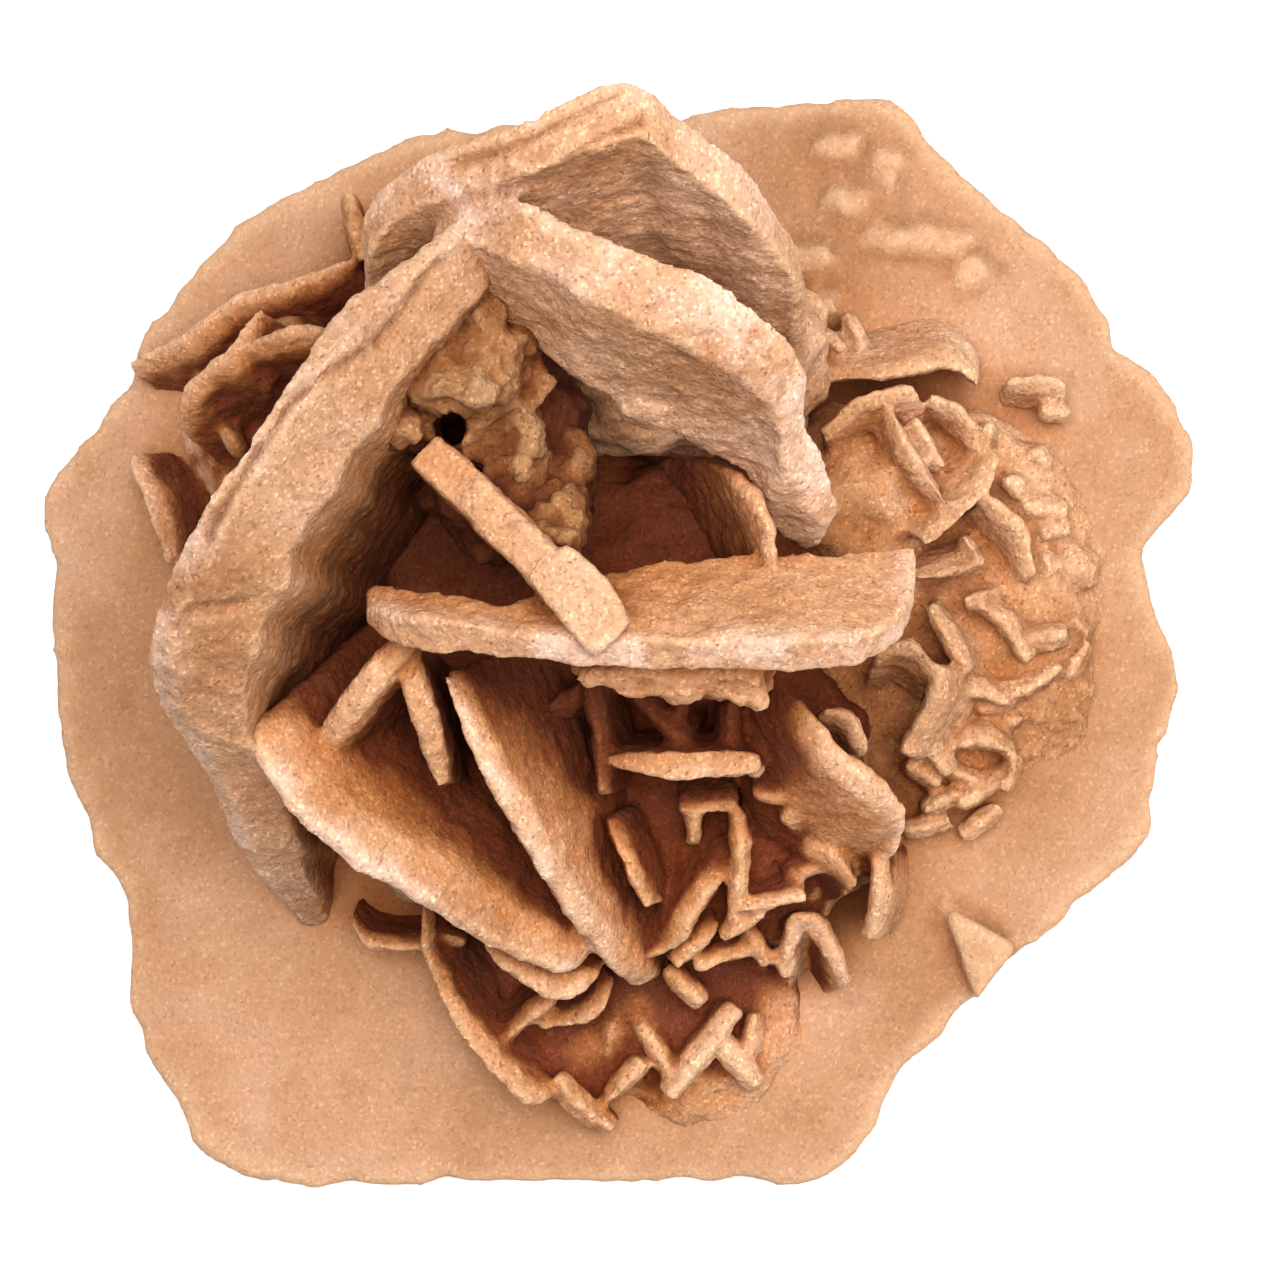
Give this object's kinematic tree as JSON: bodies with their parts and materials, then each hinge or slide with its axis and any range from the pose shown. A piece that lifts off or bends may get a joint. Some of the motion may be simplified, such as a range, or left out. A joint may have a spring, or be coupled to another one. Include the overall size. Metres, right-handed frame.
{
  "type": "gypsum sand rose",
  "caption": "Sandy desert rose: thick bevelled gypsum blades and fans of thin bladelets grown together on one wide wavy-edged lens plate.",
  "frame": {"origin": "middle of the footprint, on the surface the rose rests on", "axes": "+Z up through the blades, +X to the right and +Y up in the picture, which looks straight down"},
  "size_m": [0.0633, 0.0594, 0.0303],
  "materials": {
    "sandy_gypsum": "matte sandy crust"
  },
  "bodies": {
    "root": {"sand_rose": "sandy_gypsum"}
  },
  "joints": []
}
